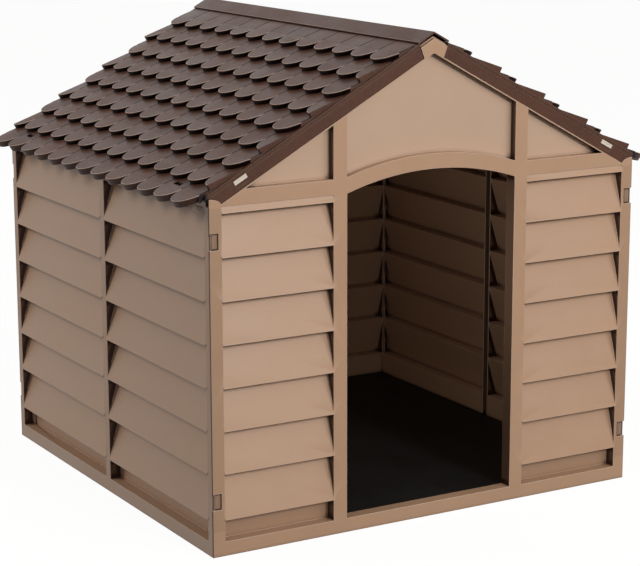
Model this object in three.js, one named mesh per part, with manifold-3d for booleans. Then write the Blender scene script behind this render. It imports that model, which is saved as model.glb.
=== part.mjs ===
import * as THREE from 'three';
import { mergeVertices } from 'three/addons/utils/BufferGeometryUtils.js';
import Module from 'manifold-3d';

const wasm = await Module();
wasm.setup();

// Snap-together plastic dog house. Sizes in mm. X runs across the doorway wall, Y from front
// to back with the doorway facing -Y, Z up; the origin is on the ground under the middle.

const wallWidth = 805;
const wallDepth = 780;
const roofPitch = THREE.MathUtils.degToRad(28.7);
const wallSkin = 2.2;
const fit = 0.3;                    // gap between pieces that touch
const overlap = 1;                  // how far joined shapes of one moulding run into each other

// Louvred walls, from the ground up
const louvreRecess = 20;            // top edge of a slat behind the frame's face
const louvreProud = 1.7;            // bottom edge of a slat in front of the frame's face
const slatShift = { depth: 3, height: 2.1 };     // from a slat's outer face to its inner one
const frameDepth = louvreRecess + slatShift.depth;
const bottomRailTop = 23.6;
const lastSlatBottom = 58.2;
const lastSlatHeight = 74.4;
const slatPitch = 68.4;
const slatCount = 7;
const lipHeight = 11;
const lipRecess = 2;                // top edge of the lip behind the frame's face
const railHeight = 24.4;
const lipBottom = lastSlatBottom + lastSlatHeight + (slatCount - 1) * slatPitch;
const railBottom = lipBottom + lipHeight;
const railTop = railBottom + railHeight;

// The fascias' top edges rise from this height at the walls' outer faces to meet at the ridge.
const eaveHeight = railTop - 8;
const ridgeHeight = eaveHeight + wallWidth / 2 * Math.tan(roofPitch);

// Gable walls; heights on the slope are square to it, from the fascias' top edge
const gableStileWidth = 22;
const stileTop = eaveHeight - 3.8;
const stileTopDrop = 10.5;          // from the rounded stile top to its inner edge
const panelRecess = 14;
const doorHalfWidth = 159.6;
const doorSpringing = railBottom;
const doorRise = 26;
const doorBand = 25;                // width of the jambs and of the arch's band
const rearMullionWidth = 25;
const rebateDepth = 4.3;            // gable edge behind the fascia, from the wall's face
const rebateThickness = 2.4;
const keystone = { foot: 18.4, shoulder: 25, top: -3, thickness: 3.6 };

// Side walls
const sideStileWidth = 13.7;
const sideMullionWidth = 17.5;

// Corner hooks, each in a window of a gable wall's stile
const hookWindowFeet = [77, railBottom - 66];
const hookWindow = { width: gableStileWidth - 6, height: 25.5 };
const hookWidth = 10;
const hookReach = 1;
const notchDepth = 1;               // in the side wall's corner, beside each hook
const hookClearance = 1.2;

// Roof
const fasciaDepth = 21.2;
const fasciaThickness = 3;
const fasciaInset = 1;              // fascia's face behind the gable wall's face
const fasciaGroove = { top: -1.9, width: 1.3, depth: 1.2 };
const fasciaRounding = 3;
const rimHeight = 3;
const endWallFoot = -3;
const eaveOverhang = 40.1;          // along the slope, from the walls' faces to the tile tips
const firstTipReach = 96.4;         // along the slope, from the ridge to the first row's tips
const tileRows = 9;
const tilesPerRow = 13;
const tileTipHeight = 14;
const tileTilt = THREE.MathUtils.degToRad(9.5);
const tileBorder = 7.2;             // from the gable wall's face to the first tile
const tipLength = 30;
const tipSegments = 6;
const tipTaper = 0.45;              // run inwards of a tip's wall per height
const tileGap = 1.2;
const grooveDepth = 1.2;
const roofSkin = 2.2;
const skirtDrop = 13;
const skirtWall = 2.2;
const overhang = { inset: 36, foot: -4 };        // end strip outside the walls, from the tips
const roofSlot = { inset: 38, tile: 1, length: 22, width: 8, room: 14 };    // room in the wall below

// Ridge cap
const capHalfWidth = 28.7;
const capThickness = 3;
const capInset = 0.5;

// Roof latches
const latch = { inset: 59, height: -7, length: 24.6, width: 7.2, proud: 0.6 };
const latchNeck = { length: 18, width: 5.2 };
const latchHook = { length: 22, thickness: 2 };
const latchPlay = 0.4;
const latchGroove = { length: 12, width: 1.6, depth: 0.8 };
const gripRecess = { length: 22, width: 6, depth: 1.2 };       // below the latch's slot

// Floor
const floorTop = 21.6;
const floorSkin = 2.4;
const floorRibCount = 3;            // each way, besides the rim

const halfWidth = wallWidth / 2;
const halfDepth = wallDepth / 2;
const wallReach = halfWidth / Math.cos(roofPitch);      // along the slope, to the walls' faces
const eaveReach = wallReach + eaveOverhang;
const rowPitch = (eaveReach - firstTipReach) / (tileRows - 1);
const latchReach = wallReach - latch.inset;
const gableEdge = -fasciaDepth - fit;
const ribFoot = gableEdge - wallSkin;

// ---- solids --------------------------------------------------------------------------

function toSolid(geometry) {
  const plain = new THREE.BufferGeometry();
  plain.setAttribute('position', geometry.getAttribute('position'));
  if (geometry.index) plain.setIndex(geometry.index);
  const welded = mergeVertices(plain, 1e-4);
  return new wasm.Manifold(new wasm.Mesh({
    numProp: 3,
    vertProperties: Float32Array.from(welded.attributes.position.array),
    triVerts: Uint32Array.from(welded.index.array),
  }));
}

function toGeometry(solid) {
  const { vertProperties, triVerts } = solid.getMesh();
  const geometry = new THREE.BufferGeometry();
  geometry.setAttribute('position', new THREE.BufferAttribute(vertProperties, 3));
  geometry.setIndex(new THREE.BufferAttribute(triVerts, 1));
  return geometry;
}

const joined = (solids) => solids.reduce((whole, solid) => whole.add(solid));

// The same solid on the other side of x = 0 or y = 0.
function reflected(solid, axis) {
  const geometry = toGeometry(solid).scale(axis === 'x' ? -1 : 1, axis === 'y' ? -1 : 1, 1);
  const corners = geometry.index.array;
  for (let i = 0; i < corners.length; i += 3) {
    [corners[i], corners[i + 1]] = [corners[i + 1], corners[i]];
  }
  return toSolid(geometry);
}

const withReflection = (solid, axis) => solid.add(reflected(solid, axis));

function extruded(outline, length) {
  const shape = new THREE.Shape(outline.map(([u, v]) => new THREE.Vector2(u, v)));
  return new THREE.ExtrudeGeometry(shape, { depth: length, bevelEnabled: false });
}

// An outline of [x, z] points, run along Y.
function prismAlongY(outline, from, to) {
  return toSolid(extruded(outline, to - from).rotateX(Math.PI / 2).translate(0, to, 0));
}

// An outline of [y, z] points, run along X.
function prismAlongX(outline, from, to) {
  const turn = new THREE.Matrix4().makeBasis(
    new THREE.Vector3(0, 1, 0), new THREE.Vector3(0, 0, 1), new THREE.Vector3(1, 0, 0));
  return toSolid(extruded(outline, to - from).applyMatrix4(turn).translate(from, 0, 0));
}

function block([x0, x1], [y0, y1], [z0, z1]) {
  return toSolid(new THREE.BoxGeometry(x1 - x0, y1 - y0, z1 - z0)
    .translate((x0 + x1) / 2, (y0 + y1) / 2, (z0 + z1) / 2));
}

const rectangle = ([u0, u1], [v0, v1]) => [[u0, v0], [u1, v0], [u1, v1], [u0, v1]];
const otherSide = (outline) => outline.map(([x, z]) => [-x, z]);

// The right half of an outline, from its lowest middle point round to its highest, made whole.
const wholeOutline = (right) => [...right, ...otherSide(right).reverse()];

// An outline with each edge moved outwards by the same distance.
function grown(outline, distance) {
  const points = outline.map(([x, z]) => new THREE.Vector2(x, z));
  if (THREE.ShapeUtils.isClockWise(points)) points.reverse();
  return points.map((point, i) => {
    const into = point.clone().sub(points.at(i - 1)).normalize();
    const outOf = points[(i + 1) % points.length].clone().sub(point).normalize();
    const across = new THREE.Vector2(into.y + outOf.y, -into.x - outOf.x).normalize();
    const reach = distance / across.dot(new THREE.Vector2(into.y, -into.x));
    return [point.x + across.x * reach, point.y + across.y * reach];
  });
}

// An outline's corner between two of its points, rounded off over a length on either side.
function rounded(before, corner, after, length) {
  const [from, middle, to] = [before, corner, after].map(([x, z]) => new THREE.Vector2(x, z));
  const towards = (point) => point.sub(middle).setLength(length).add(middle);
  return new THREE.QuadraticBezierCurve(towards(from), middle, towards(to))
    .getPoints(3).map(({ x, y }) => [x, y]);
}

// The [x, z] point at a distance down the slope from the ridge and a height square to it.
const onSlope = (reach, height) => [
  reach * Math.cos(roofPitch) + height * Math.sin(roofPitch),
  ridgeHeight - reach * Math.sin(roofPitch) + height * Math.cos(roofPitch),
];

// Level of the line that runs along the slope at that height, at a distance x from the middle.
const slopeAt = (x, height) =>
  ridgeHeight + (height - x * Math.sin(roofPitch)) / Math.cos(roofPitch);

const slopePoint = (x, height) => [x, slopeAt(x, height)];

// A box lying along the right-hand slope.
function slopeBlock(reach, height, length, width, [y0, y1]) {
  const [x, z] = onSlope(reach, height);
  return toSolid(new THREE.BoxGeometry(length, y1 - y0, width)
    .rotateY(roofPitch).translate(x, (y0 + y1) / 2, z));
}

// ---- walls: made with the outer face on y = 0 and the inside towards +Y ------------------

const slatBottoms = Array.from({ length: slatCount }, (_, i) =>
  (i + 1 < slatCount ? lipBottom - (i + 1) * slatPitch : lastSlatBottom));

// The slats of one bay from x0 to x1, with the lip above them and the plain strip below.
function louvres(x0, x1) {
  const outer = [[lipRecess, railBottom + overlap], [lipRecess, railBottom]];
  for (const z of [lipBottom, ...slatBottoms]) outer.push([-louvreProud, z], [louvreRecess, z]);
  const inner = outer.map(([y, z]) => [y + slatShift.depth, z + slatShift.height]);
  const foot = bottomRailTop - overlap;
  return prismAlongX([...outer, [louvreRecess, foot], [frameDepth, foot], ...inner.reverse()],
    x0 - overlap, x1 + overlap);
}

// The wall round a window of a frame.
const surround = (window) => prismAlongY(grown(window, wallSkin), 0, frameDepth)
  .subtract(prismAlongY(window, -overlap, frameDepth + overlap));

// A moulded frame: its face, with windows cut out, and a wall round each window.
function frame(outline, windows) {
  let face = prismAlongY(outline, 0, wallSkin);
  for (const window of windows) face = face.subtract(prismAlongY(window, -overlap, frameDepth));
  return joined([face, ...windows.map(surround)]);
}

const recessedPanel = (window) =>
  prismAlongY(grown(window, overlap), panelRecess, panelRecess + wallSkin);

const bayWindow = (x0, x1) => rectangle([x0, x1], [bottomRailTop, railBottom]);

// ---- gable walls -----------------------------------------------------------------------

const archRadius = (doorHalfWidth ** 2 + doorRise ** 2) / (2 * doorRise);
const archCentre = doorSpringing + doorRise - archRadius;

// An arch round the door's centre, from left to right, ending over the door's edges.
function archCurve(radius) {
  const steps = 16;
  const spread = Math.asin(doorHalfWidth / radius);
  return Array.from({ length: steps + 1 }, (_, i) => {
    const angle = spread * (2 * i / steps - 1);
    return [radius * Math.sin(angle), archCentre + radius * Math.cos(angle)];
  });
}

// Rounded top of the right corner stile, from its outer edge to an angle near its inner edge.
function stileTopCurve(clearance, lastAngle) {
  const steps = 6;
  return Array.from({ length: steps + 1 }, (_, i) => {
    const angle = THREE.MathUtils.degToRad(90 + (lastAngle - 90) * i / steps);
    return [
      halfWidth + (gableStileWidth + clearance) * Math.cos(angle),
      stileTop - stileTopDrop + (stileTopDrop + clearance) * Math.sin(angle),
    ];
  });
}

const stileInside = halfWidth - gableStileWidth;
const gableOutline = wholeOutline([
  [halfWidth, 0],
  ...stileTopCurve(0, 172),
  slopePoint(stileInside - overlap, gableEdge),
  slopePoint(keystone.foot, gableEdge),
]);

// A band along the right-hand slope between two heights.
const slopeBand = (x0, x1, low, high) =>
  [slopePoint(x0, low), slopePoint(x1, low), slopePoint(x1, high), slopePoint(x0, high)];

function slopeTriangle(inner) {
  const tip = (slopeAt(0, ribFoot) - railTop) / Math.tan(roofPitch);
  return [[inner, railTop], [tip, railTop], slopePoint(inner, ribFoot)];
}

function gableWall(bayStart, doorways, panels) {
  const bay = bayWindow(bayStart, stileInside);
  const rib = prismAlongY(slopeBand(0, stileInside - overlap, ribFoot, gableEdge), 0, frameDepth);
  const rebate = prismAlongY(slopeBand(0, stileInside - wallSkin, ribFoot, -fit),
    rebateDepth, rebateDepth + rebateThickness);
  const keystoneFace = prismAlongY(wholeOutline([
    slopePoint(0, ribFoot), slopePoint(keystone.foot, ribFoot), slopePoint(keystone.foot, gableEdge),
    slopePoint(keystone.shoulder, keystone.top), slopePoint(0, keystone.top),
  ]), 0, keystone.thickness);
  const foot = block([-stileInside - wallSkin, stileInside + wallSkin], [0, frameDepth], [0, wallSkin]);
  const openings = joined([
    ...hookWindowFeet.map((foot) => block([halfWidth - hookWindow.width, halfWidth + overlap],
      [-overlap, wallSkin + overlap], [foot, foot + hookWindow.height])),
    slopeBlock(latchReach, latch.height, latchNeck.length + 2 * fit, latchNeck.width + 2 * fit,
      [wallSkin + fit, frameDepth]),
  ]);
  return joined([
    frame(gableOutline, [bay, otherSide(bay), ...doorways, ...panels]),
    ...panels.map(recessedPanel),
    withReflection(joined([louvres(bayStart, stileInside), rib, rebate]), 'x'),
    keystoneFace,
    foot,
  ]).subtract(withReflection(openings, 'x'));
}

function frontWall() {
  const jambOutside = doorHalfWidth + doorBand;
  const doorway = [
    [doorHalfWidth, bottomRailTop], ...archCurve(archRadius).reverse(), [-doorHalfWidth, bottomRailTop],
  ];
  const shoulder = slopePoint(doorHalfWidth, ribFoot);
  const overDoor = [
    shoulder, slopePoint(0, ribFoot), ...otherSide([shoulder]), ...archCurve(archRadius + doorBand),
  ];
  const triangle = slopeTriangle(jambOutside);
  return gableWall(jambOutside, [doorway], [overDoor, triangle, otherSide(triangle)]);
}

function rearWall() {
  const triangle = slopeTriangle(rearMullionWidth / 2);
  return gableWall(rearMullionWidth / 2, [], [triangle, otherSide(triangle)]);
}

// ---- roof rows -------------------------------------------------------------------------

// Rows count from the ridge. Tile tops lie flatter than the slope, so each row ends in a step.
const tileSlope = Math.tan(roofPitch - tileTilt);
const skinDrop = roofSkin / Math.cos(roofPitch - tileTilt);
const rowTip = (row) => onSlope(eaveReach - (tileRows - row) * rowPitch, tileTipHeight);
const tileTop = (row, x) => rowTip(row)[1] + (rowTip(row)[0] - x) * tileSlope;
const skinTop = (row, x) => tileTop(row, x) - grooveDepth;
const riser = (row) => (row > 0 ? rowTip(row)[0] - tipLength : fit / 2);

const tileFieldEnd = halfDepth - tileBorder;
const tilePitch = 2 * tileFieldEnd / tilesPerRow;
const tileHalfWidth = (tilePitch - tileGap) / 2;
const roofSlotPlace = tileFieldEnd - (roofSlot.tile + 0.5) * tilePitch;    // from the middle

// ---- side walls ------------------------------------------------------------------------

const sideWallTop = skinTop(tileRows, halfWidth) - skinDrop - fit;

function sideWall() {
  const end = halfDepth - wallSkin - fit;
  const bayEnd = end - sideStileWidth;
  const bay = bayWindow(sideMullionWidth / 2, bayEnd);
  const cornerPostDepth = gableStileWidth - wallSkin - fit;     // behind the gable wall's stile
  const cornerPostEnd = halfDepth - frameDepth - fit;
  const post = block([bayEnd, end], [0, cornerPostDepth], [0, sideWallTop])
    .subtract(block([bayEnd + wallSkin, end - wallSkin],
      [wallSkin, cornerPostDepth - wallSkin], [-overlap, railBottom]));
  const strip = block([cornerPostEnd - wallSkin, end],
    [cornerPostDepth - wallSkin, cornerPostDepth], [0, sideWallTop]);
  const roomForGable = block([cornerPostEnd, halfDepth],
    [cornerPostDepth, frameDepth + overlap], [-overlap, sideWallTop + overlap]);
  const roomForRoof = block([halfDepth - tileBorder - roofSkin - fit, halfDepth],
    [-overlap, frameDepth], [stileTop - stileTopDrop - overlap, sideWallTop + overlap]);
  const slotEdge = roofSlotPlace + roofSlot.length / 2;
  const roomForSlot = block([slotEdge - roofSlot.length, slotEdge],
    [-overlap, frameDepth + overlap], [sideWallTop - roofSlot.room, sideWallTop + overlap]);
  const hookStart = hookWindow.width - hookClearance - hookWidth;
  const notches = hookWindowFeet.map((foot) => block([end - notchDepth, end + overlap],
    [-overlap, hookStart], [foot, foot + hookWindow.height]));
  const hooks = hookWindowFeet.map((foot) => block([end - overlap, end + hookReach],
    [hookStart, hookStart + hookWidth],
    [foot + hookClearance, foot + hookWindow.height - hookClearance]));

  const ends = joined([louvres(sideMullionWidth / 2, bayEnd), post, strip]);
  return joined([
    frame(rectangle([-end, end], [0, sideWallTop]), [bay, otherSide(bay)]),
    block([-bayEnd - overlap, bayEnd + overlap], [0, frameDepth], [0, wallSkin]),
    block([-end, end], [0, cornerPostDepth], [sideWallTop - wallSkin, sideWallTop]),
    withReflection(ends, 'x'),
  ])
    .subtract(withReflection(joined([roomForGable, roomForRoof, roomForSlot, ...notches]), 'x'))
    .add(withReflection(joined(hooks), 'x'));
}

// ---- roof ------------------------------------------------------------------------------

// A block between two surfaces that change with x, with an [x, y] outline for its top and one
// with as many points for its bottom.
function slopedPrism(upper, topAt, lower, bottomAt) {
  const count = upper.length;
  const corners = upper.map(([x, y]) => new THREE.Vector2(x, y));
  const index = THREE.ShapeUtils.triangulateShape(corners, [])
    .flatMap(([a, b, c]) => [c, b, a, a + count, b + count, c + count]);
  for (let i = 0; i < count; i += 1) {
    const next = (i + 1) % count;
    index.push(i, next, next + count, i, next + count, i + count);
  }
  const geometry = new THREE.BufferGeometry();
  geometry.setAttribute('position', new THREE.Float32BufferAttribute([
    ...lower.flatMap(([x, y]) => [x, y, bottomAt(x)]),
    ...upper.flatMap(([x, y]) => [x, y, topAt(x)]),
  ], 3));
  geometry.setIndex(index);
  return toSolid(geometry);
}

// A tile's rounded end seen from above, from x0 to its tip, scaled down so that its sides move
// in by an inset. Half tiles are cut flush with the field's end.
function tipOutline(centre, x0, tip, inset) {
  const first = centre - tileHalfWidth < -tileFieldEnd ? 0 : -tipSegments / 2;
  const last = centre + tileHalfWidth > tileFieldEnd ? 0 : tipSegments / 2;
  const scale = 1 - inset / tileHalfWidth;
  const curve = Array.from({ length: last - first + 1 }, (_, i) => {
    const angle = Math.PI * (first + i) / tipSegments;
    return [
      tip - tipLength + tipLength * scale * Math.cos(angle),
      centre + tileHalfWidth * scale * Math.sin(angle),
    ];
  });
  return [[x0, curve[0][1]], ...curve, [x0, curve.at(-1)[1]]];
}

// Odd rows have whole tiles only; even rows are shifted by half a tile and end in half tiles.
function tileCentres(row) {
  const shift = row % 2 ? 0.5 : 0;
  return Array.from({ length: tilesPerRow + 1 - 2 * shift }, (_, i) =>
    -tileFieldEnd + (i + shift) * tilePitch);
}

function tile(row, centre) {
  const [tip] = rowTip(row);
  const top = (x) => tileTop(row, x);
  const bodyStart = row > 1 ? riser(row - 1) - overlap : riser(0);
  const bodyOutline = rectangle([bodyStart, riser(row)], [
    Math.max(centre - tileHalfWidth, -tileFieldEnd), Math.min(centre + tileHalfWidth, tileFieldEnd)]);
  const body = slopedPrism(bodyOutline, top, bodyOutline, (x) => skinTop(row, x) - overlap);

  // The rounded end at a depth below the tile's top; its wall leans inwards by the taper.
  const tipAt = (x0, depth, inset) => tipOutline(centre, x0, tip, inset + tipTaper * depth);
  if (row < tileRows) {
    const step = tileTop(row, tip) - skinTop(row + 1, tip) + overlap;
    return body.add(slopedPrism(tipAt(riser(row) - overlap, 0, 0), top,
      tipAt(riser(row) - overlap, step, 0), (x) => skinTop(row + 1, x) - overlap));
  }
  const skirtStart = riser(row) - roofSkin;
  const skirt = slopedPrism(tipAt(skirtStart, 0, 0), top,
    tipAt(skirtStart, skirtDrop, 0), (x) => top(x) - skirtDrop);
  const hollow = slopedPrism(tipAt(riser(row), grooveDepth + skinDrop, skirtWall),
    (x) => skinTop(row, x) - skinDrop,
    tipAt(riser(row), skirtDrop + overlap, skirtWall), (x) => top(x) - skirtDrop - overlap);
  return body.add(skirt.subtract(hollow));
}

// The stepped skin under the tiles, from the ridge to the last riser, drawn from above.
const skinLine = Array.from({ length: tileRows }, (_, i) =>
  [riser(i), riser(i + 1)].map((x) => [x, skinTop(i + 1, x)])).flat();

function roofHalf() {
  const ridgeEdge = riser(0);
  const eaveEdge = riser(tileRows);
  const underside = skinLine.slice(1, -1)
    .map(([x, z]) => [x - roofSkin, z + roofSkin * tileSlope - skinDrop]);
  const ridgeFoot = [ridgeEdge, skinTop(1, ridgeEdge) - skinDrop];
  const skin = prismAlongY([
    ...skinLine, [eaveEdge, skinTop(tileRows, eaveEdge) - skinDrop], ...underside.reverse(), ridgeFoot,
  ], -tileFieldEnd, tileFieldEnd);
  const tiles = Array.from({ length: tileRows }, (_, i) =>
    joined(tileCentres(i + 1).map((centre) => tile(i + 1, centre))));

  const face = fasciaInset - halfDepth;
  const endWall = prismAlongY([
    ...skinLine, slopePoint(eaveEdge, endWallFoot), slopePoint(riser(1), endWallFoot), ridgeFoot,
  ], -tileFieldEnd, roofSkin - tileFieldEnd);
  const rimStart = keystone.shoulder + 2 * fit;
  const rimFoot = slopePoint(rimStart, keystone.top);
  const stileCurve = stileTopCurve(2 * fit, 168).reverse();
  const [overhangEnd] = onSlope(eaveReach - overhang.inset, rimHeight);
  const rim = prismAlongY(slopeBand(rimStart, overhangEnd, 0, rimHeight), face, roofSkin - tileFieldEnd);
  const fascia = prismAlongY([
    ...rounded(rimFoot, slopePoint(keystone.foot + 2 * fit, -fasciaDepth), stileCurve[0], fasciaRounding),
    ...stileCurve,
    slopePoint(overhangEnd, overhang.foot),
    slopePoint(overhangEnd, rimHeight),
    slopePoint(rimStart, rimHeight),
    rimFoot,
  ], face, face + fasciaThickness);
  const latchSlot = slopeBlock(latchReach, latch.height, latch.length + 2 * latchPlay,
    latch.width + 2 * latchPlay, [face - overlap, face + fasciaThickness + overlap]);
  const gripHeight = latch.height - (latch.width + gripRecess.width) / 2;
  const grip = slopeBlock(latchReach, gripHeight, gripRecess.length, gripRecess.width,
    [face - overlap, face + gripRecess.depth]);
  const groove = prismAlongY(slopeBand(rimStart - 2 * overlap, overhangEnd + overlap,
    fasciaGroove.top - fasciaGroove.width, fasciaGroove.top), face - overlap, face + fasciaGroove.depth);
  const end = joined([endWall, rim, fascia]).subtract(joined([latchSlot, grip, groove]));

  const [slotX, slotZ] = onSlope(eaveReach - roofSlot.inset, 0);
  const slot = block([slotX - roofSlot.width / 2, slotX + roofSlot.width / 2],
    [roofSlotPlace - roofSlot.length / 2, roofSlotPlace + roofSlot.length / 2],
    [slotZ - 2 * skirtDrop, slotZ + 2 * skirtDrop]);

  return joined([skin, withReflection(end, 'y'), ...tiles]).subtract(withReflection(slot, 'y'));
}

function ridgeCap() {
  const under = rimHeight + fit;
  const right = [
    slopePoint(0, under),
    slopePoint(capHalfWidth - capThickness * Math.sin(roofPitch), under),
    slopePoint(capHalfWidth, under + capThickness),
    slopePoint(0, under + capThickness),
  ];
  return prismAlongY(wholeOutline(right), capInset - halfDepth, halfDepth - capInset);
}

// The front right latch: a pad in the fascia's slot, a neck through the gable's edge, a hook.
function roofLatch() {
  const face = fasciaInset - latch.proud - halfDepth;
  const neckStart = rebateDepth - fit - halfDepth;
  const hookStart = rebateDepth + rebateThickness + fit - halfDepth;
  const along = (length, width, ys) => slopeBlock(latchReach, latch.height, length, width, ys);
  return joined([
    along(latch.length, latch.width, [face, neckStart]),
    along(latchNeck.length, latchNeck.width, [neckStart - overlap, hookStart + overlap]),
    along(latchHook.length, latch.width, [hookStart, hookStart + latchHook.thickness]),
  ]).subtract(along(latchGroove.length, latchGroove.width, [face - overlap, face + latchGroove.depth]));
}

// ---- floor -----------------------------------------------------------------------------

function floorPanel() {
  const reachX = halfWidth - frameDepth - fit;
  const reachY = halfDepth - frameDepth - fit;
  // The hollows between the ribs in one direction, as [from, to] pairs.
  const hollows = (reach) => {
    const pitch = 2 * (reach - floorSkin / 2) / (floorRibCount + 1);
    return Array.from({ length: floorRibCount + 1 }, (_, i) =>
      [i * pitch - reach + floorSkin, (i + 1) * pitch - reach]);
  };
  const pockets = hollows(reachX).flatMap((xs) => hollows(reachY).map((ys) =>
    block(xs, ys, [-overlap, floorTop - floorSkin])));
  return block([-reachX, reachX], [-reachY, reachY], [0, floorTop]).subtract(joined(pockets));
}

// ---- the assembled house -----------------------------------------------------------------

const wallPlastic = { color: '#b6967e', roughness: 0.55, metalness: 0 };
const roofPlastic = { color: '#6b5a50', roughness: 0.6, metalness: 0 };
const floorPlastic = { color: '#161514', roughness: 0.65, metalness: 0 };
const latchPlastic = { color: '#d8c8b7', roughness: 0.5, metalness: 0 };

const group = new THREE.Group();
group.name = 'dog_house';

function addPiece(name, solid, finish, place = new THREE.Matrix4()) {
  const geometry = toGeometry(solid).applyMatrix4(place).toNonIndexed();
  geometry.computeVertexNormals();
  const mesh = new THREE.Mesh(geometry, new THREE.MeshStandardMaterial(finish));
  mesh.name = name;
  group.add(mesh);
}

// Turns a wall about the vertical and moves its outer face out to a distance from the middle.
function wallPlace(turn, distance) {
  return new THREE.Matrix4().makeRotationZ(turn)
    .multiply(new THREE.Matrix4().makeTranslation(0, -distance, 0));
}

addPiece('front_wall', frontWall(), wallPlastic, wallPlace(0, halfDepth));
addPiece('rear_wall', rearWall(), wallPlastic, wallPlace(Math.PI, halfDepth));
const side = sideWall();
addPiece('left_wall', side, wallPlastic, wallPlace(-Math.PI / 2, halfWidth));
addPiece('right_wall', side, wallPlastic, wallPlace(Math.PI / 2, halfWidth));
const rightHalf = roofHalf();
addPiece('roof_left', reflected(rightHalf, 'x'), roofPlastic);
addPiece('roof_right', rightHalf, roofPlastic);
addPiece('ridge_cap', ridgeCap(), roofPlastic);
addPiece('floor_panel', floorPanel(), floorPlastic);
const frontRight = roofLatch();
const frontLeft = reflected(frontRight, 'x');
addPiece('latch_front_left', frontLeft, latchPlastic);
addPiece('latch_front_right', frontRight, latchPlastic);
addPiece('latch_rear_left', reflected(frontLeft, 'y'), latchPlastic);
addPiece('latch_rear_right', reflected(frontRight, 'y'), latchPlastic);

export default group;
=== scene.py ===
import bpy
from math import cos, radians, sin
from mathutils import Matrix, Vector


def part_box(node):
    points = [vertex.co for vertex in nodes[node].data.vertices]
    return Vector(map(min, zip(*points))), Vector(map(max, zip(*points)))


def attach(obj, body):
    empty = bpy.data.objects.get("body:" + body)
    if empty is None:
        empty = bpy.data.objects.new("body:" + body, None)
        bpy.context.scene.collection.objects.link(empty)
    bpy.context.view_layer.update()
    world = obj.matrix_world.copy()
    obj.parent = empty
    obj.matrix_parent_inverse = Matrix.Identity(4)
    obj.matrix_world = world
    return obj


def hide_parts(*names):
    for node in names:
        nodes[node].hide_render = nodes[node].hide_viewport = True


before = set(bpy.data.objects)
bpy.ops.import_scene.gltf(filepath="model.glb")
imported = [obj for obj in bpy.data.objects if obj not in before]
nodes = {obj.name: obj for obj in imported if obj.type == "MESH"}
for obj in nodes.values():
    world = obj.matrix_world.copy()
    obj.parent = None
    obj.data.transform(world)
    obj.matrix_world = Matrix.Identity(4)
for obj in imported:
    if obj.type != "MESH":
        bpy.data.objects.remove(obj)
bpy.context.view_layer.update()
print("frame loaded:", len(nodes), "nodes")

same = 0.000001             # places closer than this are one place
sharpCorner = 38            # degrees; corners sharper than this get a radius
smoothCorner = 40           # degrees; corners blunter than this are shaded smooth


def toLinear(hexColour):
    # sRGB hex to the linear values that a shader socket takes
    parts = [int(hexColour[i:i + 2], 16) / 255 for i in (1, 3, 5)]
    return [p / 12.92 if p <= 0.04045 else ((p + 0.055) / 1.055) ** 2.4 for p in parts] + [1.0]


def addNode(tree, kind, settings=None, links=None):
    # settings: attribute or input (name or number) to value; links: input to an output socket
    node = tree.nodes.new(kind)
    for name, value in (settings or {}).items():
        if isinstance(name, int) or name in node.inputs:
            node.inputs[name].default_value = value
        else:
            setattr(node, name, value)
    for name, socket in (links or {}).items():
        tree.links.new(socket, node.inputs[name])
    return node


def selectOnly(piece):
    if bpy.context.mode != "OBJECT":
        bpy.ops.object.mode_set(mode="OBJECT")
    bpy.ops.object.select_all(action="DESELECT")
    piece.select_set(True)
    bpy.context.view_layer.objects.active = piece


def selectInMesh(piece, kind, test):
    # goes into edit mode with just the edges or faces that pass the test selected
    selectOnly(piece)
    bpy.ops.object.mode_set(mode="EDIT")
    bpy.ops.mesh.select_mode(type="EDGE" if kind == "edges" else "FACE")
    bpy.ops.mesh.select_all(action="DESELECT")
    bpy.ops.object.mode_set(mode="OBJECT")
    mesh = piece.data
    for item in mesh.polygons if kind == "faces" else mesh.edges:
        corners = [mesh.vertices[i].co for i in item.vertices]
        item.select = bool(test(item, corners))
    bpy.ops.object.mode_set(mode="EDIT")


def selectAllFaces(piece):
    selectInMesh(piece, "faces", lambda face, corners: True)


def applyModifier(piece, kind, settings):
    modifier = piece.modifiers.new(kind.lower(), kind)
    for name, value in settings.items():
        setattr(modifier, name, value)
    selectOnly(piece)
    bpy.ops.object.modifier_apply(modifier=modifier.name)


# camera at the photograph's angle
camera = {
    "place": (-1.7868, -3.0918, 1.1084), "yaw": 30.278, "pitch": 12.454, "roll": -0.124,
    "lens": 115.6, "sensor": 36, "reach": 50,
}

cameraData = bpy.data.cameras.new("camera")
cameraData.lens = camera["lens"]
cameraData.sensor_width = camera["sensor"]
cameraData.clip_end = camera["reach"]
cameraObject = bpy.data.objects.new("camera", cameraData)
bpy.context.scene.collection.objects.link(cameraObject)
cameraObject.matrix_world = (Matrix.Translation(camera["place"])
                             @ Matrix.Rotation(radians(-camera["yaw"]), 4, "Z")
                             @ Matrix.Rotation(radians(90 - camera["pitch"]), 4, "X")
                             @ Matrix.Rotation(radians(camera["roll"]), 4, "Z"))
bpy.context.scene.camera = cameraObject
bpy.context.scene.view_settings.view_transform = "Standard"

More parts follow.
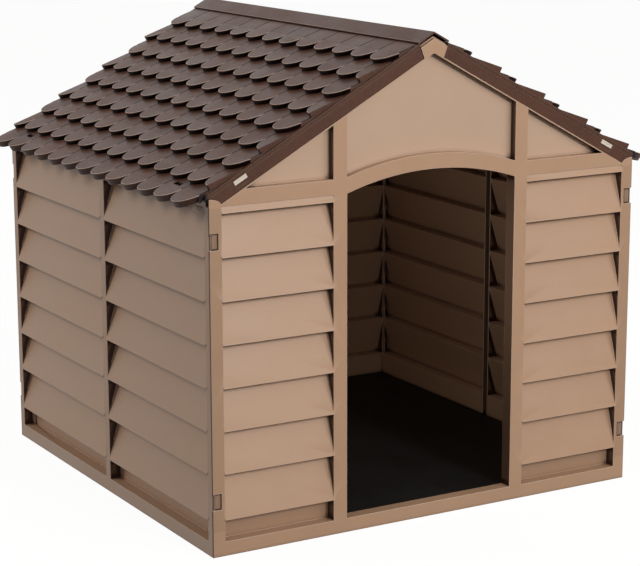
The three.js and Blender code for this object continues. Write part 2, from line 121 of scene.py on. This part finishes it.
# studio, a dim room with five lamps: a key box straight before the doorway wall, one at its
# right for the sheen on the slats, one for the left wall, one behind the roof, and a small one
# just inside the doorway that lifts the inner walls
studio = {
    "roomTop": 0.3, "roomLow": 0.05, "topHeight": 0.7, "lowHeight": -0.4,
    "lamps": [
        {"name": "keyBox", "place": (0.3, -3.9, 1.75), "aim": (0, 0, 0.5), "size": 0.8, "watts": 72},
        {"name": "sheenBox", "place": (2.1, -3.4, 2.1), "aim": (0, 0, 0.5), "size": 1.3, "watts": 26},
        {"name": "leftBox", "place": (-3.1, 2.0, 2.2), "aim": (0, 0, 0.4), "size": 1.2, "watts": 42},
        {"name": "backBox", "place": (0.9, 3.2, 2.2), "aim": (0, 0, 0.7), "size": 1.6, "watts": 6},
        {"name": "doorFill", "place": (-0.1, -0.34, 0.42), "aim": (0.4, 0.1, 0.3), "size": 0.2,
         "watts": 0.34},
    ],
}
for lamp in studio["lamps"]:
    lampData = bpy.data.lights.new(lamp["name"], "AREA")
    lampData.shape = "SQUARE"
    lampData.size = lamp["size"]
    lampData.energy = lamp["watts"]
    lampObject = bpy.data.objects.new(lamp["name"], lampData)
    bpy.context.scene.collection.objects.link(lampObject)
    lampObject.location = lamp["place"]
    lampObject.visible_camera = False
    aim = Vector(lamp["aim"]) - Vector(lamp["place"])
    lampObject.rotation_euler = aim.to_track_quat("-Z", "Y").to_euler()


def seenDirectly(tree):
    # 1 for what the camera sees, also in a gloss or through glass, and 0 for light on the object
    path = addNode(tree, "ShaderNodeLightPath")
    mirrored = addNode(tree, "ShaderNodeMath", {"operation": "MAXIMUM"}, {
        0: path.outputs["Is Glossy Ray"], 1: path.outputs["Is Transmission Ray"]})
    return addNode(tree, "ShaderNodeMath", {"operation": "MAXIMUM"}, {
        0: path.outputs["Is Camera Ray"], 1: mirrored.outputs[0]}).outputs[0]


world = bpy.data.worlds.new("room")
bpy.context.scene.world = world
world.use_nodes = True
tree = world.node_tree
tree.nodes.clear()
direction = addNode(tree, "ShaderNodeTexCoord")
height = addNode(tree, "ShaderNodeSeparateXYZ", None, {"Vector": direction.outputs["Generated"]})
strength = addNode(tree, "ShaderNodeMapRange", {
    "From Min": studio["lowHeight"], "From Max": studio["topHeight"],
    "To Min": studio["roomLow"], "To Max": studio["roomTop"],
}, {"Value": height.outputs["Z"]})
room = addNode(tree, "ShaderNodeBackground", {"Color": toLinear("#ffffff")},
               {"Strength": strength.outputs["Result"]})
backdrop = addNode(tree, "ShaderNodeBackground", {"Color": toLinear("#ffffff"), "Strength": 1.0})
seen = addNode(tree, "ShaderNodeMixShader", None, {
    "Fac": seenDirectly(tree), 1: room.outputs[0], 2: backdrop.outputs[0]})
addNode(tree, "ShaderNodeOutputWorld", None, {"Surface": seen.outputs[0]})

# floor: grey paper that glows for the camera, so it is seen white but keeps its shadow, and
# throws little light back on the house
paper = {"size": 40, "under": 0.0002, "colour": "#5c5a58", "glow": 0.94}

bpy.ops.object.select_all(action="DESELECT")
bpy.ops.mesh.primitive_plane_add(size=paper["size"], location=(0, 0, -paper["under"]))
floor = bpy.context.object
floor.name = "paperFloor"
paperMaterial = bpy.data.materials.new("matt white paper")
paperMaterial.use_nodes = True
tree = paperMaterial.node_tree
tree.nodes.clear()
matt = addNode(tree, "ShaderNodeBsdfDiffuse", {"Color": toLinear(paper["colour"])})
glow = addNode(tree, "ShaderNodeEmission", {"Color": toLinear("#ffffff"), "Strength": paper["glow"]})
lit = addNode(tree, "ShaderNodeAddShader", None, {0: matt.outputs[0], 1: glow.outputs[0]})
seen = addNode(tree, "ShaderNodeMixShader", None, {
    "Fac": seenDirectly(tree), 1: matt.outputs[0], 2: lit.outputs[0]})
addNode(tree, "ShaderNodeOutputMaterial", None, {"Surface": seen.outputs[0]})
floor.data.materials.append(paperMaterial)
print("camera, lamps and floor set")


def mouldedPlastic(name, look):
    # grained plastic: cloudy colour, painted highlights on rounded edges, painted shade in corners
    # and recesses, fine bump; the piece's attributes hold its own tone and where shade and highlight are
    # painted
    noiseLow, noiseHigh = 0.3, 0.7          # most of a noise texture lies between these
    glossSpread = 0.06
    bumpDepth = 0.25                        # of the grain's size
    material = bpy.data.materials.new(name)
    material.use_nodes = True
    tree = material.node_tree
    tree.nodes.clear()
    place = addNode(tree, "ShaderNodeTexCoord").outputs["Object"]
    clouds = addNode(tree, "ShaderNodeTexNoise", {
        "Scale": 1 / look["cloudSize"], "Detail": 3.0, "Roughness": 0.6}, {"Vector": place})
    body = addNode(tree, "ShaderNodeMix", {
        "data_type": "RGBA", 6: toLinear(look["dark"]), 7: toLinear(look["light"])},
        {0: clouds.outputs["Fac"]})
    grain = addNode(tree, "ShaderNodeTexNoise", {
        "Scale": 1 / look["grainSize"], "Detail": 4.0, "Roughness": 0.7}, {"Vector": place})
    speck = addNode(tree, "ShaderNodeMapRange", {
        "From Min": noiseLow, "From Max": noiseHigh,
        "To Min": 1 - look["speck"], "To Max": 1 + look["speck"]}, {"Value": grain.outputs["Fac"]})
    # tone: random from tile to tile, and painted shade where a face is marked darker
    toneAndShade = addNode(tree, "ShaderNodeAttribute", {"attribute_name": "toneAndShade"})
    toneAndShadeShare = addNode(tree, "ShaderNodeMath", {
        "operation": "MULTIPLY_ADD", 1: look["toneAndShadeShare"], 2: 1.0}, {0: toneAndShade.outputs["Fac"]})
    bright = addNode(tree, "ShaderNodeMath", {"operation": "MULTIPLY"},
                     {0: speck.outputs["Result"], 1: toneAndShadeShare.outputs[0]})
    shaded = addNode(tree, "ShaderNodeVectorMath", {"operation": "SCALE"},
                     {0: body.outputs[2], "Scale": bright.outputs[0]})
    # painted highlight: the faces of the rounded edges are mixed towards the pale edge colour
    rim = addNode(tree, "ShaderNodeAttribute", {"attribute_name": "rim"})
    rimShare = addNode(tree, "ShaderNodeMath", {"operation": "MULTIPLY", 1: look["highlightShare"]},
                       {0: rim.outputs["Fac"]})
    highlighted = addNode(tree, "ShaderNodeMix", {"data_type": "RGBA", 7: toLinear(look["edge"])},
                    {0: rimShare.outputs[0], 6: shaded.outputs[0]})
    # painted shade: faces in corners, in recesses and marked ones are mixed towards the dark shade colour
    occlusion = addNode(tree, "ShaderNodeAmbientOcclusion", {"samples": 8, "Distance": look["shadeReach"]})
    paintedShade = addNode(tree, "ShaderNodeAttribute", {"attribute_name": "paintedShade"})
    openness = addNode(tree, "ShaderNodeMath", {"operation": "SUBTRACT"},
                         {0: occlusion.outputs["AO"], 1: paintedShade.outputs["Fac"]})
    inTheOpen = addNode(tree, "ShaderNodeMapRange", {
        "From Min": look["shadeFrom"], "From Max": look["shadeTo"]}, {"Value": openness.outputs[0]})
    shadeColour = addNode(tree, "ShaderNodeMix", {
        "data_type": "RGBA", "blend_type": "MULTIPLY", 0: 1.0, 7: toLinear(look["shadeColour"])},
        {6: highlighted.outputs[2]})
    colour = addNode(tree, "ShaderNodeMix", {"data_type": "RGBA"},
                     {0: inTheOpen.outputs["Result"], 6: shadeColour.outputs[2], 7: highlighted.outputs[2]})
    gloss = addNode(tree, "ShaderNodeMapRange", {
        "From Min": noiseLow, "From Max": noiseHigh,
        "To Min": look["roughness"] - glossSpread, "To Max": look["roughness"] + glossSpread},
        {"Value": clouds.outputs["Fac"]})
    bump = addNode(tree, "ShaderNodeBump", {
        "Strength": look["bump"], "Distance": look["grainSize"] * bumpDepth},
        {"Height": grain.outputs["Fac"]})
    shader = addNode(tree, "ShaderNodeBsdfPrincipled", {
        "IOR": 1.49, "Specular IOR Level": look["specular"]}, {
        "Base Color": colour.outputs[2], "Roughness": gloss.outputs["Result"], "Normal": bump.outputs[0]})
    addNode(tree, "ShaderNodeOutputMaterial", None, {"Surface": shader.outputs[0]})
    return material


# Polypropylene injected into a finely etched mould: satin, never glossy, slightly cloudy in
# colour, with painted highlights on its rounded edges. The etch is about 1 mm; drawn at 2.5 mm.
wallLook = {
    "cloudSize": 0.11, "dark": "#b38c6e", "light": "#c09a7b", "grainSize": 0.0025, "speck": 0.025,
    "toneAndShadeShare": 0.3, "edge": "#dcc3ad", "highlightShare": 0.4, "shadeReach": 0.012,
    "shadeFrom": 0.26, "shadeTo": 0.66, "shadeColour": "#3c1606", "roughness": 0.42, "bump": 0.12,
    "specular": 0.5,
}
# The same plastic in dark brown, from a coarser etch, drawn at 3 mm: it breaks the light into
# specks, no two tiles are quite alike, and the tiles' edges get painted highlights as pale lines.
roofLook = {
    "cloudSize": 0.07, "dark": "#492b1f", "light": "#5d3c2d", "grainSize": 0.003, "speck": 0.22,
    "toneAndShadeShare": 0.36, "edge": "#c2aa99", "highlightShare": 0.85, "shadeReach": 0.012,
    "shadeFrom": 0.2, "shadeTo": 0.7, "shadeColour": "#40200f", "roughness": 0.5, "bump": 0.45,
    "specular": 0.2,
}
# The same plastic in black, its etch drawn at 3 mm too. It is the dullest of the four, so the
# floor gives back hardly any light.
# its edges get a faint painted highlight, and its corners a little painted shade
trayLook = {
    "cloudSize": 0.1, "dark": "#0c0b0a", "light": "#141210", "grainSize": 0.003, "speck": 0.05,
    "toneAndShadeShare": 0.0, "edge": "#2a2725", "highlightShare": 0.5, "shadeReach": 0.02,
    "shadeFrom": 0.2, "shadeTo": 0.8, "shadeColour": "#909090", "roughness": 0.62, "bump": 0.2,
    "specular": 0.3,
}
# A smoother moulded piece, even, with a soft sheen; its pale cream colour is a painted highlight,
# the sheen that the tabs catch. Its grain is drawn at 1.5 mm.
latchLook = {
    "cloudSize": 0.02, "dark": "#dccbb8", "light": "#e8dac9", "grainSize": 0.0015, "speck": 0.02,
    "toneAndShadeShare": 0.0, "edge": "#f3e9dc", "highlightShare": 0.6, "shadeReach": 0.004,
    "shadeFrom": 0.2, "shadeTo": 0.8, "shadeColour": "#a08468", "roughness": 0.42, "bump": 0.06,
    "specular": 0.45,
}
wallMaterial = mouldedPlastic("etched polypropylene, light brown", wallLook)
roofMaterial = mouldedPlastic("etched polypropylene, dark brown", roofLook)
trayMaterial = mouldedPlastic("etched polypropylene, black", trayLook)
latchMaterial = mouldedPlastic("moulded acetal, cream", latchLook)
print("materials made")


def roundEdges(piece, material, settings):
    # the bevel leaves its own faces in the second slot; they carry a painted highlight on the rounded edges
    piece.data.materials.append(material)
    piece.data.materials.append(material)
    bevel = {"limit_method": "ANGLE", "use_clamp_overlap": False, "material": 1}
    applyModifier(piece, "BEVEL", {**bevel, **settings})
    mesh = piece.data
    rim = mesh.attributes.new("rim", "FLOAT", "FACE")
    for face in mesh.polygons:
        rim.data[face.index].value = 1.0 if face.material_index else 0.0
        face.material_index = 0
    mesh.materials.pop(index=1)


def addMarks(mesh):
    # adding an attribute moves the others, so all are there before any is fetched
    for mark in ("toneAndShade", "paintedShade"):
        mesh.attributes.new(mark, "FLOAT", "FACE")
    return {mark: mesh.attributes[mark].data for mark in ("rim", "toneAndShade", "paintedShade")}


def turnUp(piece):
    # a sheet whose largest face looks down is turned over
    if max(piece.data.polygons, key=lambda face: face.area).normal.z < 0:
        selectAllFaces(piece)
        bpy.ops.mesh.flip_normals()
        bpy.ops.object.mode_set(mode="OBJECT")


def finishPiece(piece):
    selectOnly(piece)
    bpy.ops.object.shade_smooth_by_angle(angle=radians(smoothCorner))
    # large faces stay flat and only their rims turn over
    applyModifier(piece, "WEIGHTED_NORMAL", {"mode": "FACE_AREA", "weight": 90, "keep_sharp": True})
    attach(piece, "root")


# mouldings: the CAD shapes with the radius that a mould leaves on every edge. Faces that
# have windows in them are cut along these levels first, because such faces bevel badly.
slats = {"lowest": 0.092, "pitch": 0.0684, "count": 7}
wallLevels = [0.012, 0.041, 0.552, 0.568, 0.62, 0.68, 0.74]
wallLevels += [slats["lowest"] + slats["pitch"] * i for i in range(slats["count"])]
sideTop = 0.56              # the side walls have no windows above this
gableCuts = {"x": [-0.25, 0.0, 0.25], "z": wallLevels}
sideCuts = {"y": [-0.19, 0.0, 0.19], "z": [z for z in wallLevels if z < sideTop]}
leftRoofCuts = {"x": [-0.404], "y": [-0.294, 0.294]}
rightRoofCuts = {"x": [0.404], "y": [-0.294, 0.294]}
floorCuts = {"x": [0.1], "y": [0.1]}

# marks: how much painted highlight, tone and painted shade a face gets, by where it lies. Places are
# distances from the middle of the house, so both sides and both ends get the same ones.
alongAxis = 0.3             # a face whose normal has less than this of an axis runs along it
upward = 0.5                # a face whose normal has this much of Z is lit from above
gableMarks = {
    "panelY": 0.376, "panelReach": 0.0005, "panelFoot": 0.565, "panelSheen": 0.9,
    "cornerX": 0.4018, "cornerY": 0.3885, "cornerShade": 0.8,
    "stileX": 0.38, "stileY": 0.389, "stileShade": -0.4,
    "stripY": 0.37, "stripReach": 0.001, "stripTop": 0.06, "stripShade": -0.7,
    "recessBack": 0.366, "recessFront": 0.3885, "recessShade": 0.62,
}
sideMarks = {
    "hookY": 0.3879, "hookShade": 0.5, "frameX": 0.4015, "frameShade": -0.5,
    "recessBack": 0.379, "recessFront": 0.401, "recessShade": 0.62,
}
roofMarks = {
    "slotX": 0.4044, "slotReachX": 0.0046, "slotY": 0.2945, "slotReachY": 0.0116,
    "cornerX": 0.398, "cornerY": 0.3825,
}


def fromMiddle(face):
    return [abs(value) for value in face.center]


def gableMark(face):
    marks = gableMarks
    x, y, z = fromMiddle(face)
    if abs(y - marks["panelY"]) < marks["panelReach"] and z > marks["panelFoot"]:
        return {"rim": marks["panelSheen"]}                       # sunk panels, painted paler than the frame as a sheen
    if x > marks["cornerX"] and y > marks["cornerY"]:
        return {"rim": 0.0, "paintedShade": marks["cornerShade"]}      # painted shade in the corner beside the side wall
    if x > marks["stileX"] and y > marks["stileY"]:
        # painted shade: the stiles darker than the slats
        return {"toneAndShade": marks["stileShade"]}
    if abs(y - marks["stripY"]) < marks["stripReach"] and z < marks["stripTop"]:
        return {"toneAndShade": marks["stripShade"]}                     # painted shade: the strip under the lowest slat darker
    inRecess = marks["recessBack"] < y < marks["recessFront"]
    if inRecess and abs(face.normal.y) < alongAxis and face.normal.z < upward:
        return {"paintedShade": marks["recessShade"]}                  # painted shade on its walls and undersides
    return {}


def sideMark(face):
    marks = sideMarks
    x, y, z = fromMiddle(face)
    if y > marks["hookY"]:
        return {"paintedShade": marks["hookShade"]}                    # painted shade on the corner hooks
    if x > marks["frameX"]:
        return {"toneAndShade": marks["frameShade"]}                     # painted shade: the frame, proud of the slats, darker than them
    inRecess = marks["recessBack"] < x < marks["recessFront"]
    if inRecess and abs(face.normal.x) < alongAxis and face.normal.z < upward:
        # painted shade on the walls and undersides of the recesses
        return {"paintedShade": marks["recessShade"]}
    return {}


def roofMark(face):
    marks = roofMarks
    x, y, z = fromMiddle(face)
    inSlot = (abs(x - marks["slotX"]) < marks["slotReachX"]
              and abs(y - marks["slotY"]) < marks["slotReachY"])
    atCorner = x > marks["cornerX"] and y > marks["cornerY"]
    # painted shade in the slots and at the eave corners
    return {"paintedShade": 1.0} if inSlot or atCorner else {}


def noMark(face):
    return {}


wall = {"edge": 0.0008, "rimShare": 1.0, "slot": "wall_plastic", "material": wallMaterial}
roof = {"edge": 0.0005, "rimShare": 0.2, "slot": "roof_plastic", "material": roofMaterial,
        "mark": roofMark}
tray = {"edge": 0.0008, "rimShare": 1.0, "slot": "floor_plastic", "material": trayMaterial,
        "mark": noMark}
latch = {"edge": 0.0005, "rimShare": 1.0, "slot": "latch_plastic", "material": latchMaterial,
         "mark": noMark}
mouldings = {
    "front_wall": {**wall, "cuts": gableCuts, "mark": gableMark},
    "rear_wall": {**wall, "cuts": gableCuts, "mark": gableMark},
    "left_wall": {**wall, "cuts": sideCuts, "mark": sideMark},
    "right_wall": {**wall, "cuts": sideCuts, "mark": sideMark},
    "roof_left": {**roof, "cuts": leftRoofCuts},
    "roof_right": {**roof, "cuts": rightRoofCuts},
    "floor_panel": {**tray, "cuts": floorCuts},
}
for name in nodes:
    if name.startswith("latch"):
        mouldings[name] = {**latch, "cuts": {}}


def cutAtLevels(piece, cuts):
    # merges the CAD triangles into large faces, which end at the levels
    selectAllFaces(piece)
    bpy.ops.mesh.remove_doubles(threshold=same)
    for axis, levels in cuts.items():
        across = Vector([float(axis == letter) for letter in "xyz"])
        for height in levels:
            bpy.ops.mesh.select_all(action="SELECT")
            bpy.ops.mesh.bisect(plane_co=across * height, plane_no=across, threshold=same)
            bpy.ops.mesh.mark_seam()
    bpy.ops.mesh.select_all(action="SELECT")
    bpy.ops.mesh.dissolve_limited(angle_limit=radians(0.5), delimit={"SEAM"})
    bpy.ops.object.mode_set(mode="OBJECT")


def softenMoulding(name, settings):
    piece = bpy.data.objects.new(name + "_moulding", nodes[name].data.copy())
    bpy.context.scene.collection.objects.link(piece)
    cutAtLevels(piece, settings["cuts"])
    piece.data.materials.clear()
    roundEdges(piece, settings["material"], {
        "width": settings["edge"], "segments": 2, "angle_limit": radians(sharpCorner),
        "loop_slide": False})
    marked = addMarks(piece.data)
    # painted highlight scaled for the piece, then painted shade and tone by where each face lies
    for face in piece.data.polygons:
        marked["rim"][face.index].value *= settings["rimShare"]
        for mark, value in settings["mark"](face).items():
            marked[mark][face.index].value = value
    finishPiece(piece)
    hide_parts(name)


for name, settings in mouldings.items():
    softenMoulding(name, settings)
    print("moulding softened:", name)

# ridge cap: two flanks of sheet that meet at the ridge
capLow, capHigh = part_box("ridge_cap")
cap = {
    "pitch": 28.7, "thickness": 0.003, "edge": 0.0009,
    "middle": 0.02, "middleHighlight": 0.15, "lowerHighlight": 0.6,         # painted highlight, strong only on the lower edges
}
capHalf = capHigh[0]
capFoot = capLow[2] + cap["thickness"] * cos(radians(cap["pitch"]))
capTop = capHigh[2]

bpy.ops.object.select_all(action="DESELECT")
bpy.ops.mesh.primitive_plane_add(size=1, location=(0, 0, 0))
ridgeCap = bpy.context.object
ridgeCap.name = "ridgeCap"
# the plane becomes the right flank, then its upper edge is drawn out to the left
bpy.ops.object.mode_set(mode="EDIT")
bpy.ops.mesh.select_all(action="SELECT")
bpy.ops.transform.resize(value=(capHalf, capHigh[1] - capLow[1], 1))
bpy.ops.transform.translate(value=(capHalf / 2, 0, 0))
selectInMesh(ridgeCap, "edges", lambda edge, corners: all(c.x < same for c in corners))
bpy.ops.transform.translate(value=(0, 0, capTop))
selectInMesh(ridgeCap, "edges", lambda edge, corners: all(c.x > same for c in corners))
bpy.ops.transform.translate(value=(0, 0, capFoot))
selectInMesh(ridgeCap, "edges", lambda edge, corners: all(abs(c.x) < same for c in corners))
bpy.ops.mesh.extrude_region_move(TRANSFORM_OT_translate={"value": (-capHalf, 0, capFoot - capTop)})
bpy.ops.mesh.select_all(action="SELECT")
bpy.ops.mesh.normals_make_consistent(inside=False)
bpy.ops.object.mode_set(mode="OBJECT")
turnUp(ridgeCap)
applyModifier(ridgeCap, "SOLIDIFY", {"thickness": cap["thickness"], "offset": -1})
roundEdges(ridgeCap, roofMaterial, {
    "width": cap["edge"], "segments": 3, "angle_limit": radians(sharpCorner)})
# painted highlight: strong on the lower edges, faint along the ridge
capHighlight = ridgeCap.data.attributes["rim"].data
for face in ridgeCap.data.polygons:
    capHighlight[face.index].value *= cap["lowerHighlight" if abs(face.center.x) > cap["middle"] else "middleHighlight"]
finishPiece(ridgeCap)
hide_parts("ridge_cap")
print("ridge cap modelled")

# tiles: one shell with a rounded end, laid over each tile of the roof mouldings
tile = {
    "halfWidth": 0.02915, "end": 0.03177, "tip": 0.0321, "body": 0.0468, "corners": 24,
    "step": 0.0098, "skirt": 0.0124,                # depth of a tile's wall, and of an eave tile's
    "side": 0.0016, "sideLean": 0.45, "endLean": 0.3,       # upright part of the wall, then its lean
    "lip": 0.0012, "chamfer": 0.0011, "edge": 0.001, "edgeAngle": 50,
    "proud": 0.0003, "tilt": 19.2, "firstTip": (0.0912, 0.7568), "pitch": (0.04415, -0.02417),
    "fieldEnd": 0.3828, "perRow": 13, "rows": 9,
    "slot": {"from": -0.0148, "to": -0.0063, "half": 0.011},
    "jointShade": 1.0, "wallShade": 0.55, "past": 0.001,    # shade starts this far past an edge
}
unevenness = {"byRow": 127.1, "byPlace": 3117.7, "spread": 43758.5}


def selectOutline(piece, height, fromX):
    # all but the straight edge at the rear, whose two ends mirror each other
    selectInMesh(piece, "edges", lambda edge, corners: (
        all(abs(c.z - height) < same and c.x > fromX for c in corners)
        and abs(corners[0].y + corners[1].y) > same))


def cutSlot(shell):
    slot = tile["slot"]
    cuts = [((slot["from"], 0, 0), (1, 0, 0)), ((slot["to"], 0, 0), (1, 0, 0)),
            ((0, -slot["half"], 0), (0, 1, 0)), ((0, slot["half"], 0), (0, 1, 0))]
    for place, across in cuts:
        bpy.ops.mesh.select_all(action="SELECT")
        bpy.ops.mesh.bisect(plane_co=place, plane_no=across)
    selectInMesh(shell, "faces", lambda face, corners: (
        slot["from"] < face.center.x < slot["to"] and abs(face.center.y) < slot["half"]))
    bpy.ops.mesh.delete(type="FACE")


def tileShell(name, depth, hasSlot=False, side=0):
    # lies in its own plane, the rounded end towards +X from the origin; side keeps one half
    bpy.ops.object.select_all(action="DESELECT")
    bpy.ops.mesh.primitive_circle_add(vertices=tile["corners"], radius=1, fill_type="NGON")
    shell = bpy.context.object
    shell.name = name
    bpy.ops.object.mode_set(mode="EDIT")
    bpy.ops.mesh.select_all(action="SELECT")
    bpy.ops.transform.resize(value=(tile["tip"], tile["halfWidth"], 1), center_override=(0, 0, 0))
    bpy.ops.mesh.bisect(plane_co=(0, 0, 0), plane_no=(1, 0, 0), clear_inner=True)
    selectInMesh(shell, "edges", lambda edge, corners: all(c.x < same for c in corners))
    bpy.ops.mesh.extrude_region_move(TRANSFORM_OT_translate={"value": (-tile["body"], 0, 0)})
    # the wall is drawn down, first upright and then leaning inwards, and turned in to a lip
    selectOutline(shell, 0, -1)
    bpy.ops.mesh.extrude_region_move(TRANSFORM_OT_translate={"value": (0, 0, -tile["side"])})
    selectOutline(shell, -tile["side"], -same)
    bpy.ops.mesh.extrude_region_move(TRANSFORM_OT_translate={"value": (0, 0, tile["side"] - depth)})
    lean = tile["sideLean"] * depth / tile["halfWidth"]
    bpy.ops.transform.resize(value=(1 - tile["endLean"] * lean, 1 - lean, 1), center_override=(0, 0, 0))
    bpy.ops.mesh.extrude_region_move(TRANSFORM_OT_translate={"value": (0, 0, 0)})
    inward = 1 - tile["lip"] / tile["halfWidth"]
    bpy.ops.transform.resize(value=(inward, inward, 1), center_override=(0, 0, 0))
    bpy.ops.mesh.select_all(action="SELECT")
    bpy.ops.mesh.normals_make_consistent(inside=False)
    if hasSlot:
        cutSlot(shell)
    if side:
        bpy.ops.mesh.select_all(action="SELECT")
        bpy.ops.mesh.bisect(plane_co=(0, 0, 0), plane_no=(0, side, 0), clear_inner=True)
    # the long sides of the joint to the next tile are chamfered
    selectInMesh(shell, "edges", lambda edge, corners: (
        all(abs(c.z) < same and c.x < same for c in corners)
        and all(abs(abs(c.y) - tile["halfWidth"]) < same for c in corners)))
    bpy.ops.mesh.bevel(offset=tile["chamfer"], segments=1)
    bpy.ops.object.mode_set(mode="OBJECT")
    turnUp(shell)
    roundEdges(shell, roofMaterial, {
        "width": tile["edge"], "segments": 2, "angle_limit": radians(tile["edgeAngle"])})
    marked = addMarks(shell.data)
    # painted shade in the joints between tiles, with no painted highlight there, and on the walls under the
    # tile ends
    for face in shell.data.polygons:
        x, y, z = face.center
        if abs(y) > tile["halfWidth"] - tile["chamfer"] and x < -tile["past"]:
            marked["rim"][face.index].value = 0.0
            marked["paintedShade"][face.index].value = tile["jointShade"]
        elif z < -tile["past"]:
            marked["paintedShade"][face.index].value = tile["wallShade"]
    return shell


shells = {
    "whole": tileShell("tileWhole", tile["step"]),
    "nearHalf": tileShell("tileNearHalf", tile["step"], side=1),
    "farHalf": tileShell("tileFarHalf", tile["step"], side=-1),
    "eave": tileShell("tileEave", tile["skirt"]),
    "slotted": tileShell("tileSlotted", tile["skirt"], hasSlot=True),
}
print("tile shells modelled")


def tilePlaces():
    # the kind of shell, its row and its distance from the middle, for one roof half
    pitch = 2 * tile["fieldEnd"] / tile["perRow"]
    for row in range(tile["rows"]):
        shift = 0 if row % 2 else 0.5
        last = tile["perRow"] - 1 if shift else tile["perRow"]
        for i in range(last + 1):
            kind = "whole"
            if not shift and i in (0, last):
                kind = "nearHalf" if i == 0 else "farHalf"
            if row == tile["rows"] - 1:
                kind = "slotted" if i in (1, last - 1) else "eave"
            yield kind, row, (i + shift) * pitch - tile["fieldEnd"]


def tileTone(row, across):
    # from -0.5 to 0.5, uneven from tile to tile and the same on each run
    return (sin(row * unevenness["byRow"] + across * unevenness["byPlace"]) * unevenness["spread"]) % 1 - 0.5


tilt = Matrix.Rotation(radians(tile["tilt"]), 4, "Y")
lift = tilt @ Vector((0, 0, tile["proud"]))
endRun = tilt @ Vector((tile["end"], 0, 0))
for half, turn in (("left", 180), ("right", 0)):
    copies = []
    for kind, row, across in tilePlaces():
        tipX = tile["firstTip"][0] + row * tile["pitch"][0]
        tipZ = tile["firstTip"][1] + row * tile["pitch"][1]
        place = Vector((tipX, across, tipZ)) - endRun + lift
        copy = bpy.data.objects.new("tileCopy", shells[kind].data.copy())
        bpy.context.scene.collection.objects.link(copy)
        copy.data.transform(Matrix.Rotation(radians(turn), 4, "Z") @ Matrix.Translation(place) @ tilt)
        for toneAndShade in copy.data.attributes["toneAndShade"].data:
            toneAndShade.value = tileTone(row, across)
        copies.append(copy)
    selectOnly(copies[0])
    for copy in copies:
        copy.select_set(True)
    bpy.ops.object.join()
    tiles = bpy.context.object
    tiles.name = "tiles_" + half
    finishPiece(tiles)
    print("tiles laid:", half, len(copies))
for shell in shells.values():
    bpy.data.objects.remove(shell)
